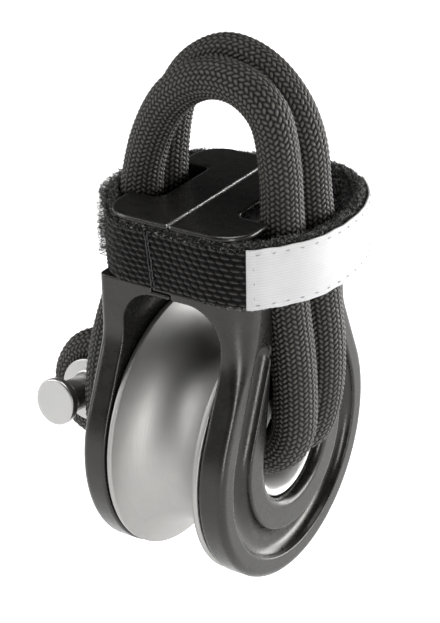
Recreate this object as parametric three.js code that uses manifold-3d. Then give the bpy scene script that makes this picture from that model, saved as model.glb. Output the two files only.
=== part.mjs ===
// Opening rope block with a textile strop, in millimetres.
// Everything is drawn about the hub centre: X along the sheave's axis, Y along the seam of the crown, Z up.
// The outer group then moves the drawing so that its origin is the eye of the strop, which it hangs by.
import * as THREE from "three";
import { mergeVertices } from "three/addons/utils/BufferGeometryUtils.js";
import Module from "manifold-3d";

const wasm = await Module();
wasm.setup();

// ---------------------------------------------------------------- driving dimensions
const SHEAVE_R = 30;
const SHEAVE_HALF_WIDTH = 11.5;
const GROOVE_ROOT_R = 22;
const FLANGE_LAND = 1.3; // flat strip on each flange
const CHEEK_INNER_X = 12;
const CHEEK_OUTER_X = 17.9;
const CHEEK_R = 30.2;
const CHEEK_EDGE_ROUND = 1.6;
const FLARE = THREE.MathUtils.degToRad(23.4); // the cheek's flanks lean in by this from upright
const NECK_FILLET_R = 14;
const CROWN_HALF_X = 17;
const CROWN_HALF_Y = 21.1;
const CROWN_TOP_Z = 56.2;
const CROWN_CORNER_R = 7;
const TOP_PLATE_THICK = 1.3;
const TOP_PLATE_ROUND = 0.55;
const SHOULDER_Z = 41.4; // ledge that the strap stands on
const STRAP_RECESS = 1.6;
const THROAT_TOP_Z = 39.2;
const THROAT_CORNER_R = 8;
const SEAM_GAP = 0.3;
const ROPE_D = 9.1;
const STRAND_Y = 4.8; // the two strands lie side by side, this far either side of the middle
const SLOT_HALF_Y = 9.75;
const SLOT_WALL_X = 9.45;
const POCKET_FLOOR_X = 14.6;
const AXLE_BORE_R = 10;
const AXLE_OUTER_R = 12.2;
const AXLE_END_X = 15.6;
const AXLE_LIP_R = 11.8;
const ROLLER_D = 3;
const ROLLER_LENGTH = 13;
const ROLLER_COUNT = 14;
const RUNNING_FIT = 0.06;
const WASHER_THICK = 1.6;
const SHEAVE_HUB_X = SHEAVE_HALF_WIDTH - WASHER_THICK;
const RACE_INNER_R = AXLE_OUTER_R + ROLLER_D + 2 * RUNNING_FIT;
const RACE_OUTER_R = RACE_INNER_R + 2;
const ROLLER_PATH_R = AXLE_OUTER_R + RUNNING_FIT + ROLLER_D / 2;
const TOGGLE_HALF_LENGTH = 18.2;
const TOGGLE_NECK_R = 3.65;
const TOGGLE_WAIST_R = 3.2;
const TOGGLE_HEAD_R = 5.3;
const TOGGLE_DISC_R = 7.2;
const TOGGLE_CENTRE = new THREE.Vector3(-32.9, 0, 1.3);
const TOGGLE_AXIS = new THREE.Vector3(-0.06, -0.983, 0.17).normalize(); // towards the front head
const STRAP_GAP = 0.3;
const WEBBING_THICK = 1;
const LINING_THICK = 0.7;
const LABEL_THICK = 0.4;
const LABEL_SPAN = [0.177, 0.471]; // shares of the strap's length, from its front left corner
const STRAP_Z = [41.7, 54.6];
const EYE_Z = 78; // under the lower of the two strop loops

const MATERIALS = {
  anodised: new THREE.MeshStandardMaterial({ color: 0x2b2a28, roughness: 0.35, metalness: 0.9 }),
  satin: new THREE.MeshStandardMaterial({ color: 0xc9c8c4, roughness: 0.35, metalness: 1 }),
  steel: new THREE.MeshStandardMaterial({ color: 0xd8d7d3, roughness: 0.15, metalness: 1 }),
  polymer: new THREE.MeshStandardMaterial({ color: 0x1c1c1c, roughness: 0.6, metalness: 0 }),
  rope: new THREE.MeshStandardMaterial({ color: 0x4a4946, roughness: 0.85, metalness: 0 }),
  webbing: new THREE.MeshStandardMaterial({ color: 0x171615, roughness: 0.9, metalness: 0 }),
  label: new THREE.MeshStandardMaterial({ color: 0xe6e6e4, roughness: 0.75, metalness: 0 }),
};

// ---------------------------------------------------------------- solids
// A closed geometry as a manifold solid that faces out, whichever way its profile was listed.
function solid(geometry, matrix) {
  const bare = geometry.clone();
  bare.deleteAttribute("normal");
  bare.deleteAttribute("uv");
  if (matrix) bare.applyMatrix4(matrix);
  const merged = mergeVertices(bare, 1e-4);
  const vertProperties = new Float32Array(merged.attributes.position.array);
  const triVerts = new Uint32Array(merged.index.array);
  const made = new wasm.Manifold(new wasm.Mesh({ numProp: 3, vertProperties, triVerts }));
  if (made.volume() > 0) return made;
  return new wasm.Manifold(
    new wasm.Mesh({ numProp: 3, vertProperties, triVerts: triVerts.reverse() }),
  );
}

function join(...parts) {
  return parts.reduce((whole, part) => whole.add(part));
}

function cut(whole, ...tools) {
  return tools.reduce((left, tool) => left.subtract(tool), whole);
}

function geometryOf(manifold) {
  const mesh = manifold.getMesh();
  const geometry = new THREE.BufferGeometry();
  const positions = new Float32Array(mesh.vertProperties);
  geometry.setAttribute("position", new THREE.BufferAttribute(positions, 3));
  geometry.setIndex(new THREE.BufferAttribute(new Uint32Array(mesh.triVerts), 1));
  geometry.computeVertexNormals();
  return geometry;
}

function box(x0, x1, y0, y1, z0, z1) {
  const geometry = new THREE.BoxGeometry(x1 - x0, y1 - y0, z1 - z0);
  geometry.translate((x0 + x1) / 2, (y0 + y1) / 2, (z0 + z1) / 2);
  return solid(geometry);
}

// A (y, z) outline carried along X from x0 to x1.
function alongX(shape, x0, x1, options = {}) {
  const geometry = new THREE.ExtrudeGeometry(shape, {
    depth: x1 - x0, bevelEnabled: false, curveSegments: 16, ...options,
  });
  const turn = new THREE.Matrix4().makeBasis(
    new THREE.Vector3(0, 1, 0), new THREE.Vector3(0, 0, 1), new THREE.Vector3(1, 0, 0),
  );
  return solid(geometry, turn.setPosition(x0, 0, 0));
}

// An (x, z) outline carried along Y from y0 to y1.
function alongY(shape, y0, y1) {
  const geometry = new THREE.ExtrudeGeometry(shape, {
    depth: y1 - y0, bevelEnabled: false, curveSegments: 16,
  });
  const turn = new THREE.Matrix4().makeBasis(
    new THREE.Vector3(1, 0, 0), new THREE.Vector3(0, 0, 1), new THREE.Vector3(0, -1, 0),
  );
  return solid(geometry, turn.setPosition(0, y1, 0));
}

// An (x, y) outline carried along Z from z0 to z1.
function alongZ(shape, z0, z1, options = {}) {
  const geometry = new THREE.ExtrudeGeometry(shape, {
    depth: z1 - z0, bevelEnabled: false, curveSegments: 8, ...options,
  });
  geometry.translate(0, 0, z0);
  return solid(geometry);
}

// A closed profile of [radius, x] pairs, turned about the X axis.
function aboutX(profile, segments = 48) {
  const points = profile.map(([radius, x]) => new THREE.Vector2(radius, x));
  if (profile[0][0] > 0) points.push(points[0].clone());
  return solid(new THREE.LatheGeometry(points, segments).rotateZ(-Math.PI / 2));
}

function polygon(points) {
  return new THREE.Shape(points.map(([a, b]) => new THREE.Vector2(a, b)));
}

// Points of an arc about (a, b), from one angle to another in radians.
function arcPoints(a, b, radius, from, to, steps) {
  const points = [];
  for (let i = 0; i <= steps; i++) {
    const angle = from + ((to - from) * i) / steps;
    points.push([a + radius * Math.cos(angle), b + radius * Math.sin(angle)]);
  }
  return points;
}

const root = new THREE.Group();
root.position.z = -EYE_Z;

function addNode(name, geometry, material, parent = root) {
  const mesh = new THREE.Mesh(geometry, material);
  mesh.name = name;
  parent.add(mesh);
  return mesh;
}

// ---------------------------------------------------------------- cheeks
// Side view of the cheek: a disc, flanks that lean in, a fillet, then the upright neck.
function cheekOutline() {
  const flankY = CHEEK_R * Math.cos(FLARE);
  const flankZ = CHEEK_R * Math.sin(FLARE);
  const meetZ = flankZ + (flankY - CROWN_HALF_Y) / Math.tan(FLARE);
  const filletZ = meetZ + NECK_FILLET_R * Math.tan(FLARE / 2);
  const filletY = CROWN_HALF_Y + NECK_FILLET_R;
  const right = arcPoints(filletY, filletZ, NECK_FILLET_R, Math.PI + FLARE, Math.PI, 5);
  const disc = arcPoints(0, 0, CHEEK_R, -Math.PI - FLARE, FLARE, 44);
  const left = right.map(([y, z]) => [-y, z]).reverse();
  return polygon([
    ...disc, ...right, [CROWN_HALF_Y, CROWN_TOP_Z], [-CROWN_HALF_Y, CROWN_TOP_Z], ...left,
  ]);
}

// Plan view of one half of the crown, with or without the slot that the strop runs through.
// It reaches past the seam, where it is trimmed later.
function crownOutline(inset, slotted) {
  const past = -3;
  const sideX = CROWN_HALF_X - inset;
  const endY = CROWN_HALF_Y - inset;
  const cornerR = CROWN_CORNER_R - inset;
  const slotY = SLOT_HALF_Y + 0.001;
  const slotCornerR = 2;
  const mouthR = 1.2;
  const half = [
    [past, -endY],
    ...arcPoints(sideX - cornerR, cornerR - endY, cornerR, -Math.PI / 2, 0, 8),
  ];
  if (slotted) {
    half.push(
      ...arcPoints(sideX - mouthR, -slotY - mouthR, mouthR, 0, Math.PI / 2, 3),
      ...arcPoints(SLOT_WALL_X + slotCornerR, slotCornerR - slotY, slotCornerR, -Math.PI / 2, -Math.PI, 5),
    );
  }
  const mirrored = half.map(([x, y]) => [x, -y]).reverse();
  return polygon([...half, ...mirrored]);
}

// The side groove: a U round the hub, its legs leaning in towards rounded ends.
function sideGroove() {
  const pathR = 22.4;
  const halfWidth = 3.25;
  const depthShare = 0.85;
  const lean = THREE.MathUtils.degToRad(21.5);
  const legEndZ = 27;
  const startY = pathR * Math.cos(lean);
  const startZ = pathR * Math.sin(lean);
  const endY = startY - (legEndZ - startZ) * Math.tan(lean);
  const toSurface = new THREE.Matrix4().makeTranslation(CHEEK_OUTER_X, 0, 0);
  const flatten = new THREE.Matrix4().makeScale(depthShare, 1, 1);
  const place = toSurface.multiply(flatten);
  const ring = solid(
    new THREE.TorusGeometry(pathR, halfWidth, 12, 48).rotateY(Math.PI / 2), place,
  );
  const reach = 60;
  const above = polygon([
    [0, 0], [reach * Math.cos(lean), reach * Math.sin(lean)], [0, 2 * reach],
    [-reach * Math.cos(lean), reach * Math.sin(lean)],
  ]);
  const parts = [cut(ring, alongX(above, 0, 2 * CHEEK_OUTER_X))];
  for (const side of [-1, 1]) {
    const from = new THREE.Vector3(0, side * startY, startZ);
    const to = new THREE.Vector3(0, side * endY, legEndZ);
    const along = to.clone().sub(from);
    const leg = new THREE.CylinderGeometry(halfWidth, halfWidth, along.length() + 0.4, 20);
    const turn = new THREE.Matrix4().makeRotationX(Math.atan2(along.z, along.y));
    turn.setPosition(from.clone().add(to).multiplyScalar(0.5));
    parts.push(solid(leg, place.clone().multiply(turn)));
    const end = new THREE.SphereGeometry(halfWidth, 20, 14);
    parts.push(solid(end, place.clone().multiply(new THREE.Matrix4().setPosition(to))));
  }
  return join(...parts);
}

// Room for the strop: the slot down the crown, the ramp below it and the hollow at the hub.
function stropPocket() {
  const rampTopZ = 43;
  const rampFootZ = 30;
  const hollowR = 13.2;
  const hubTopZ = 2;
  const outside = CHEEK_OUTER_X + 5;
  const profile = polygon([
    [SLOT_WALL_X, CROWN_TOP_Z + 5], [SLOT_WALL_X, rampTopZ], [POCKET_FLOOR_X, rampFootZ],
    [POCKET_FLOOR_X, -hollowR - 2], [outside, -hollowR - 2], [outside, CROWN_TOP_Z + 5],
  ]);
  const widenZ = 28;
  const outline = polygon([
    [SLOT_HALF_Y, CROWN_TOP_Z + 5], [-SLOT_HALF_Y, CROWN_TOP_Z + 5], [-SLOT_HALF_Y, widenZ],
    ...arcPoints(0, hubTopZ, hollowR, Math.PI - 0.15, Math.PI, 3), [-hollowR, 0], [hollowR, 0],
    ...arcPoints(0, hubTopZ, hollowR, 0, 0.15, 3), [SLOT_HALF_Y, widenZ],
  ]);
  const wide = alongY(profile, -CROWN_HALF_Y, CROWN_HALF_Y);
  const channel = wide.intersect(alongX(outline, 0, outside + 1));
  const cup = aboutX([
    [0, POCKET_FLOOR_X - 5], [AXLE_OUTER_R + STRAP_GAP, POCKET_FLOOR_X - 5],
    [AXLE_OUTER_R + STRAP_GAP, AXLE_END_X], [12.8, 16.3], [13.3, 17.1], [14.2, CHEEK_OUTER_X],
    [14.6, CHEEK_OUTER_X + 1], [0, CHEEK_OUTER_X + 1],
  ]);
  return join(channel, cup);
}

// Rounds the neck's upright outer edge on the -Y side to the crown's corner radius. The round runs out on a
// cone below. The edge on the other side stays as sharp as the plate's rim.
function neckCornerTool() {
  const roundFootZ = 33;
  const runOut = 6;
  const axisX = CHEEK_OUTER_X - CROWN_CORNER_R;
  const axisY = CROWN_CORNER_R - CROWN_HALF_Y;
  const top = CROWN_TOP_Z + 1;
  const width = 1.5 * CROWN_CORNER_R;
  const upright = new THREE.CylinderGeometry(CROWN_CORNER_R, CROWN_CORNER_R, top - roundFootZ, 48);
  const cone = new THREE.CylinderGeometry(CROWN_CORNER_R, width, runOut, 48);
  const turn = new THREE.Matrix4().makeRotationX(Math.PI / 2);
  return cut(
    box(axisX, axisX + width, axisY - width, axisY, roundFootZ - runOut, top),
    solid(upright, turn.clone().setPosition(axisX, axisY, (top + roundFootZ) / 2)),
    solid(cone, turn.clone().setPosition(axisX, axisY, roundFootZ - runOut / 2)),
  );
}

// One cheek with its half of the crown. Both cheeks are the same part, a half turn about Z apart.
function cheekSolid() {
  const plate = alongX(cheekOutline(), CHEEK_INNER_X - 6, CHEEK_OUTER_X - CHEEK_EDGE_ROUND, {
    bevelEnabled: true, bevelThickness: CHEEK_EDGE_ROUND, bevelSize: CHEEK_EDGE_ROUND,
    bevelOffset: -CHEEK_EDGE_ROUND, bevelSegments: 3,
  });
  const plateTop = CROWN_TOP_Z - TOP_PLATE_THICK;
  const cheek = cut(
    plate,
    box(0, CHEEK_INNER_X, -40, 40, -40, CROWN_TOP_Z + 1),
    box(0, 30, -40, 40, SHOULDER_Z, CROWN_TOP_Z + 1),
  );
  const neckFootZ = THROAT_TOP_Z - THROAT_CORNER_R;
  const block = alongZ(crownOutline(0, false), neckFootZ, SHOULDER_Z);
  const band = alongZ(crownOutline(STRAP_RECESS, true), SHOULDER_Z - 0.5, plateTop + 0.5);
  const top = alongZ(crownOutline(0, true), plateTop + TOP_PLATE_ROUND, CROWN_TOP_Z - TOP_PLATE_ROUND, {
    bevelEnabled: true, bevelThickness: TOP_PLATE_ROUND, bevelSize: TOP_PLATE_ROUND,
    bevelOffset: -TOP_PLATE_ROUND, bevelSegments: 3,
  });
  const throat = alongY(
    polygon([
      [-40, neckFootZ - 20], [CHEEK_INNER_X, neckFootZ - 20],
      ...arcPoints(CHEEK_INNER_X - THROAT_CORNER_R, neckFootZ, THROAT_CORNER_R, 0, Math.PI / 2, 12),
      [-40, THROAT_TOP_Z],
    ]),
    -40, 40,
  );
  const tongueX = 4.3;
  const tongueBackY = 14;
  const tongueZ = [40.6, plateTop - 1.2];
  const keep = join(
    box(SEAM_GAP / 2, 30, -40, 40, -40, CROWN_TOP_Z + 1),
    box(-tongueX, SEAM_GAP, -40, -tongueBackY, tongueZ[0], tongueZ[1]),
  );
  const cavity = box(
    -1, tongueX + SEAM_GAP, tongueBackY - SEAM_GAP, 40, tongueZ[0] - SEAM_GAP, tongueZ[1] + SEAM_GAP,
  );
  const tongue = join(
    box(-tongueX, SEAM_GAP, -CROWN_HALF_Y, -tongueBackY, tongueZ[0], SHOULDER_Z),
    box(-tongueX, SEAM_GAP, STRAP_RECESS - CROWN_HALF_Y, -tongueBackY, tongueZ[0], tongueZ[1]),
  );
  const seamEdge = 0.3;
  const seamBevel = alongY(
    polygon([
      [SEAM_GAP / 2 - 1, CROWN_TOP_Z - seamEdge], [SEAM_GAP / 2, CROWN_TOP_Z - seamEdge],
      [SEAM_GAP / 2 + seamEdge + 1, CROWN_TOP_Z + 1], [SEAM_GAP / 2 - 1, CROWN_TOP_Z + 1],
    ]),
    -40, 40,
  );
  const whole = join(cheek, block, band, top, tongue).intersect(keep);
  return cut(whole, throat, cavity, seamBevel, stropPocket(), sideGroove(), neckCornerTool());
}

function addCheeks() {
  const geometry = geometryOf(cheekSolid());
  addNode("right_cheek", geometry, MATERIALS.anodised);
  const left = addNode("left_cheek", geometry, MATERIALS.anodised);
  left.rotation.z = Math.PI;
}

// ---------------------------------------------------------------- sheave and its bearing
function addSheave(parent) {
  const halfGroove = SHEAVE_HALF_WIDTH - FLANGE_LAND;
  const depth = SHEAVE_R - GROOVE_ROOT_R;
  const curveR = (halfGroove ** 2 + depth ** 2) / (2 * depth);
  const spread = Math.asin(halfGroove / curveR);
  const groove = arcPoints(GROOVE_ROOT_R + curveR, 0, curveR, Math.PI - spread, Math.PI + spread, 8);
  const boreR = RACE_OUTER_R + SEAM_GAP;
  const recessR = boreR + 2.6;
  const slope = 0.6;
  const edge = 0.5;
  const side = [
    [boreR, SHEAVE_HUB_X], [recessR, SHEAVE_HUB_X], [recessR + slope, SHEAVE_HALF_WIDTH],
    [SHEAVE_R - edge, SHEAVE_HALF_WIDTH], [SHEAVE_R, SHEAVE_HALF_WIDTH - edge],
  ];
  const profile = [...side.map(([radius, x]) => [radius, -x]), ...groove.reverse(), ...side.reverse()];
  addNode("sheave", geometryOf(aboutX(profile, 56)), MATERIALS.satin, parent);
}

function addOuterRace(parent) {
  const halfWidth = SHEAVE_HUB_X;
  const profile = [
    [RACE_INNER_R, -halfWidth], [RACE_OUTER_R, -halfWidth],
    [RACE_OUTER_R, halfWidth], [RACE_INNER_R, halfWidth],
  ];
  addNode("outer_race", geometryOf(aboutX(profile)), MATERIALS.steel, parent);
}

function addRollers(parent) {
  for (let i = 0; i < ROLLER_COUNT; i++) {
    const angle = (2 * Math.PI * i) / ROLLER_COUNT;
    const roller = new THREE.CylinderGeometry(ROLLER_D / 2, ROLLER_D / 2, ROLLER_LENGTH, 12);
    roller.rotateZ(Math.PI / 2);
    const mesh = addNode("roller_" + String(i + 1).padStart(2, "0"), roller, MATERIALS.steel, parent);
    mesh.position.set(0, ROLLER_PATH_R * Math.cos(angle), ROLLER_PATH_R * Math.sin(angle));
  }
}

// The cage: two rims with a window for each roller between them.
function addRollerCage(parent) {
  const halfWall = 0.75;
  const wall = [ROLLER_PATH_R - halfWall, ROLLER_PATH_R + halfWall];
  const halfWidth = SHEAVE_HUB_X - 0.4;
  const play = 0.25;
  const ring = aboutX([
    [wall[0], -halfWidth], [wall[1], -halfWidth], [wall[1], halfWidth], [wall[0], halfWidth],
  ]);
  const windows = [];
  for (let i = 0; i < ROLLER_COUNT; i++) {
    const angle = (2 * Math.PI * i) / ROLLER_COUNT;
    const window = new THREE.CylinderGeometry(
      ROLLER_D / 2 + play, ROLLER_D / 2 + play, ROLLER_LENGTH + 2 * play, 12,
    ).rotateZ(Math.PI / 2);
    window.translate(0, ROLLER_PATH_R * Math.cos(angle), ROLLER_PATH_R * Math.sin(angle));
    windows.push(solid(window));
  }
  addNode("roller_cage", geometryOf(cut(ring, ...windows)), MATERIALS.polymer, parent);
}

function addThrustWashers() {
  const inner = AXLE_OUTER_R + SEAM_GAP;
  const outer = RACE_OUTER_R + SEAM_GAP + 2; // 0.6 mm inside the wheel's recess
  for (const [name, side] of [["left_thrust_washer", -1], ["right_thrust_washer", 1]]) {
    const faces = [side * (SHEAVE_HUB_X + SEAM_GAP), side * (CHEEK_INNER_X - SEAM_GAP)];
    const profile = [[inner, faces[0]], [outer, faces[0]], [outer, faces[1]], [inner, faces[1]]];
    addNode(name, geometryOf(aboutX(profile)), MATERIALS.polymer);
  }
}

// The hollow axle: a tube that the strop runs through, with a trumpet mouth at each end.
function addHollowAxle() {
  const mouthDepth = 4.2;
  const edge = 0.3;
  const mouth = [];
  const steps = 4;
  for (let i = 0; i <= steps; i++) {
    const t = i / steps;
    mouth.push([
      AXLE_BORE_R + (AXLE_LIP_R - AXLE_BORE_R) * (1 - Math.cos((t * Math.PI) / 2)),
      AXLE_END_X - mouthDepth + mouthDepth * Math.sin((t * Math.PI) / 2),
    ]);
  }
  const otherMouth = mouth.map(([radius, x]) => [radius, -x]).reverse();
  const profile = [
    ...otherMouth, ...mouth, [AXLE_OUTER_R, AXLE_END_X - edge], [AXLE_OUTER_R, edge - AXLE_END_X],
  ];
  addNode("hollow_axle", geometryOf(aboutX(profile)), MATERIALS.steel);
}

// ---------------------------------------------------------------- strop and toggle
// A point of the bight round the toggle's waist, in the plane across its axis; angle 0 points away from
// the block, where the bight stands a little off the waist.
function roundWaist(degrees) {
  const radius = TOGGLE_WAIST_R + ROPE_D / 2 + 0.6;
  const slack = 0.6;
  const away = new THREE.Vector3(-1, 0, 0).projectOnPlane(TOGGLE_AXIS).normalize();
  const over = new THREE.Vector3().crossVectors(TOGGLE_AXIS, away);
  if (over.z < 0) over.negate();
  const angle = THREE.MathUtils.degToRad(degrees);
  return TOGGLE_CENTRE.clone()
    .addScaledVector(away, (radius + slack) * Math.cos(angle))
    .addScaledVector(over, radius * Math.sin(angle));
}

// The strop is one endless loop. It starts inside the axle, runs up the right side, over the front arch and
// down the left side, round under the bight that the toggle holds, up again and over the rear arch, back
// through the axle, round the toggle's waist and into the axle again, where its ends are spliced.
function stropPath() {
  const side = STRAND_Y;
  const frontSide = [
    [2, -3.6, -3.2], [8, -4.6, -1.4], [13, -side, -0.8], [17.4, -side, 1.6], [19.9, -side, 6.5],
    [20.4, -side, 14], [19.8, -side, 25], [18.2, -side, 38], [17.3, -side, 55], [16.7, -side, 67],
    [14.2, -side, 77.2], [8, -side, 82.2], [0, -side, 82.6], [-8, -side, 78], [-13.4, -side, 70],
    [-16.7, -side, 60], [-17.6, -side, 50], [-18.6, -side, 41.5], [-20.9, -5.1, 34], [-22.6, -6.6, 27],
    [-23.4, -9.2, 20], [-23.6, -11.6, 12], [-23.6, -12.4, 3], [-23.6, -10.8, -7],
  ];
  const under = [[-23.6, -side, -15.6], [-23.6, side, -15.6]];
  const rearSide = [
    [-23.3, 10.8, -7], [-23.1, 11.8, 2], [-23.2, 11.2, 12], [-23.3, 8.8, 20], [-22.9, 6.4, 27],
    [-20.9, 5.1, 34], [-18.6, side, 41.5], [-17.6, side, 50], [-16.9, side, 60],
    [-14.4, side, 73], [-9, side, 80.8], [-1.5, side, 84.7], [6.5, side, 83], [13.4, side, 77],
    [17.2, side, 69], [18.4, side, 57], [20, side, 39], [21.6, side, 25], [21.4, side, 14],
    [19.9, side, 6.5], [17.4, side, 1.8], [13, side, 1], [8, 4.6, 1.4], [2, 3.6, 3.2], [-5, 1.2, 4.6],
    [-11, 0, 4.8], [-17, 0, 5.6],
  ];
  const bight = [115, 80, 45, 0, -45, -80, -115].map((degrees) => roundWaist(degrees).toArray());
  const home = [[-17, 0, -5.2], [-11, 0, -4.8], [-5, -1.2, -4.6], [1.6, -3.5, -3.35]];
  return [...frontSide, ...under, ...rearSide, ...bight, ...home].map((p) => new THREE.Vector3(...p));
}

function addStrop() {
  const path = new THREE.CatmullRomCurve3(stropPath(), false, "centripetal");
  const section = new THREE.Shape();
  section.absarc(0, 0, ROPE_D / 2, 0, 2 * Math.PI);
  const rope = new THREE.ExtrudeGeometry(section, { steps: 100, extrudePath: path, curveSegments: 4 });
  addNode("strop", geometryOf(solid(rope)), MATERIALS.rope);
}

// The toggle: a bar turned with a waist for the bight, a disc each side of it and a head at each end,
// which its neck flares out to.
function addToggle() {
  const discX = [5.3, 6.7];
  const headX = TOGGLE_HALF_LENGTH - 1.9;
  const edge = 0.4;
  const half = [
    [TOGGLE_WAIST_R, 0], [TOGGLE_WAIST_R, 3.6], [3.6, 4.7], [TOGGLE_DISC_R - edge, discX[0]],
    [TOGGLE_DISC_R, discX[0] + edge], [TOGGLE_DISC_R, discX[1] - edge], [TOGGLE_DISC_R - edge, discX[1]],
    [4.4, discX[1]], [TOGGLE_NECK_R, discX[1] + 0.8], [TOGGLE_NECK_R, headX - 2.4], [4, headX - 1],
    [4.6, headX - 0.2], [TOGGLE_HEAD_R - 0.2, headX], [TOGGLE_HEAD_R, headX + edge],
    [TOGGLE_HEAD_R, TOGGLE_HALF_LENGTH - edge], [TOGGLE_HEAD_R - edge, TOGGLE_HALF_LENGTH],
    [0, TOGGLE_HALF_LENGTH],
  ];
  const otherHalf = half.slice(1).map(([radius, x]) => [radius, -x]).reverse();
  const toggle = addNode("toggle", geometryOf(aboutX([...otherHalf, ...half], 24)), MATERIALS.steel);
  toggle.position.copy(TOGGLE_CENTRE);
  toggle.quaternion.setFromUnitVectors(new THREE.Vector3(1, 0, 0), TOGGLE_AXIS);
}

// ---------------------------------------------------------------- strap
// Plan of the strap's innermost face: close round the crown's front, loose round the strands on both sides.
function strapPlan() {
  const points = [
    [-11, -19.9], [0, -19.9], [11, -19.9], [16.5, -18.2], [20.6, -12.5], [24, -6], [25.4, 2], [24.8, 11],
    [21.5, 19.5], [15.5, 25.2], [7.5, 26.8], [-2, 24.2], [-11, 21.2], [-19, 17.6], [-23.6, 10.5],
    [-24.1, 3], [-23.6, -4], [-22.5, -7.8], [-19.2, -12.4], [-15.9, -16.8], [-13.7, -19],
  ];
  return new THREE.CatmullRomCurve3(points.map(([x, y]) => new THREE.Vector3(x, y, 0)), true, "centripetal");
}

// The strap's plan moved outwards by a distance, as a list of points.
function strapOffset(distance, from = 0, to = 1, steps = 56) {
  const plan = strapPlan();
  const points = [];
  for (let i = 0; i <= steps; i++) {
    const t = from + ((to - from) * i) / steps;
    const at = plan.getPointAt(t % 1);
    const along = plan.getTangentAt(t % 1);
    points.push([at.x + along.y * distance, at.y - along.x * distance]);
  }
  return points;
}

function addStrapRing(name, inner, thick, material) {
  const ring = polygon(strapOffset(inner + thick).slice(0, -1));
  ring.holes.push(polygon(strapOffset(inner).slice(0, -1).reverse()));
  addNode(name, geometryOf(alongZ(ring, ...STRAP_Z)), material);
}

function addStrap() {
  const webbingInner = LINING_THICK + STRAP_GAP;
  const labelInner = webbingInner + WEBBING_THICK + STRAP_GAP;
  addStrapRing("strap_lining", 0, LINING_THICK, MATERIALS.webbing);
  addStrapRing("strap_webbing", webbingInner, WEBBING_THICK, MATERIALS.webbing);
  const outside = strapOffset(labelInner + LABEL_THICK, ...LABEL_SPAN, 24);
  const inside = strapOffset(labelInner, ...LABEL_SPAN, 24).reverse();
  addNode("strap_label", geometryOf(alongZ(polygon([...outside, ...inside]), ...STRAP_Z)), MATERIALS.label);
}

// ---------------------------------------------------------------- assembly
addCheeks();
const turning = new THREE.Group();
root.add(turning);
addSheave(turning);
addOuterRace(turning);
addRollerCage(turning);
addRollers(turning);
addThrustWashers();
addHollowAxle();
addStrop();
addToggle();
addStrap();

export default root;
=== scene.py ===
"""Looks of an opening rope block with a textile strop.

Shapes are worked out in millimetres about the hub centre (X along the axle, Y along the crown's seam, Z up)
and turned into the row frame's metres when a mesh is made.
"""

import math

import bmesh
import bpy
import numpy as np
from mathutils import Matrix, Vector


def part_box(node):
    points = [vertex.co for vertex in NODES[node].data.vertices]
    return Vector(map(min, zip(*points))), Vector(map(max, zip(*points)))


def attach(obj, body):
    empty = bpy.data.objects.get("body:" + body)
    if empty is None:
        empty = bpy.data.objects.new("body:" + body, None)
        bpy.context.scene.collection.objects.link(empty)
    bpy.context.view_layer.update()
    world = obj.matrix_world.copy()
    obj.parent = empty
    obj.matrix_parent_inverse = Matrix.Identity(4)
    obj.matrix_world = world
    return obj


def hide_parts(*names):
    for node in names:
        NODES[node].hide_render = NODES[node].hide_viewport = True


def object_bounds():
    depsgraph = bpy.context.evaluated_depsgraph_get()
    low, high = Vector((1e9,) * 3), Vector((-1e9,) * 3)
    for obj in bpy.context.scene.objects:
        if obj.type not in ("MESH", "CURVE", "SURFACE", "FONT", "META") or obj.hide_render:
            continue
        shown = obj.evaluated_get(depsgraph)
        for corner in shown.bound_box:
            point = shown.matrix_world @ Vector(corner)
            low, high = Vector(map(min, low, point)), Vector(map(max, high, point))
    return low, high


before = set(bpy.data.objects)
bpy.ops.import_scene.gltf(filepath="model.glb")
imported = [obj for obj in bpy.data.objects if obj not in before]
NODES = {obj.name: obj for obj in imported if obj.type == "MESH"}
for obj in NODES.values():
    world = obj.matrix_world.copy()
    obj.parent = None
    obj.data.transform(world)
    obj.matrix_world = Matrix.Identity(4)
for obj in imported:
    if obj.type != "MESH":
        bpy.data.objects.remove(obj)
CAD_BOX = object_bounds()

MM = 0.001
SHEAVE_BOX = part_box("sheave")
HUB = (SHEAVE_BOX[0] + SHEAVE_BOX[1]) / 2
STRAP_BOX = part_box("strap_webbing")
CHEEK_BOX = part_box("right_cheek")


def hub_mm(point):
    """A row-frame point in millimetres about the hub."""
    return (point - HUB) / MM


# ---------------------------------------------------------------- driving dimensions, mm
SHEAVE_R = hub_mm(SHEAVE_BOX[1]).z
SHEAVE_HALF_WIDTH = hub_mm(SHEAVE_BOX[1]).x
GROOVE_ROOT_R = 22.0
FLANGE_LAND = 1.3
CHEEK_INNER_X = 12.0
CHEEK_OUTER_X = hub_mm(CHEEK_BOX[1]).x
CHEEK_R = -hub_mm(CHEEK_BOX[0]).z
CHEEK_EDGE_ROUND = 1.6
FLARE = math.radians(23.4)
CROWN_HALF_X = 17.0
CROWN_HALF_Y = 21.1
CROWN_TOP_Z = hub_mm(CHEEK_BOX[1]).z
CROWN_CORNER_R = 7.0
SHOULDER_Z = 41.4
STRAP_RECESS = 1.6
TOP_PLATE_THICK = 1.3
THROAT_TOP_Z = 39.2
THROAT_CORNER_R = 8.0
SEAM_HALF_GAP = 0.15
TONGUE_X = 4.3
SLOT_HALF_Y = 9.75
SLOT_WALL_X = 9.45
POCKET_FLOOR_X = 14.6
AXLE_BORE_R = 10.0
AXLE_OUTER_R = 12.2
AXLE_END_X = hub_mm(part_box("hollow_axle")[1]).x
AXLE_LIP_R = 11.8
ROPE_D = 9.1
STRAND_Y = 4.8
TOGGLE_HALF_LENGTH = 18.2
TOGGLE_NECK_R = 3.65
TOGGLE_WAIST_R = 3.2
TOGGLE_HEAD_R = 5.3
TOGGLE_DISC_R = 7.2
TOGGLE_CENTRE = np.array([-32.9, 0.0, 1.3])
TOGGLE_AXIS = np.array([-0.06, -0.983, 0.17]) / math.hypot(0.06, 0.983, 0.17)
LINING_THICK = 0.7
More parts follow.
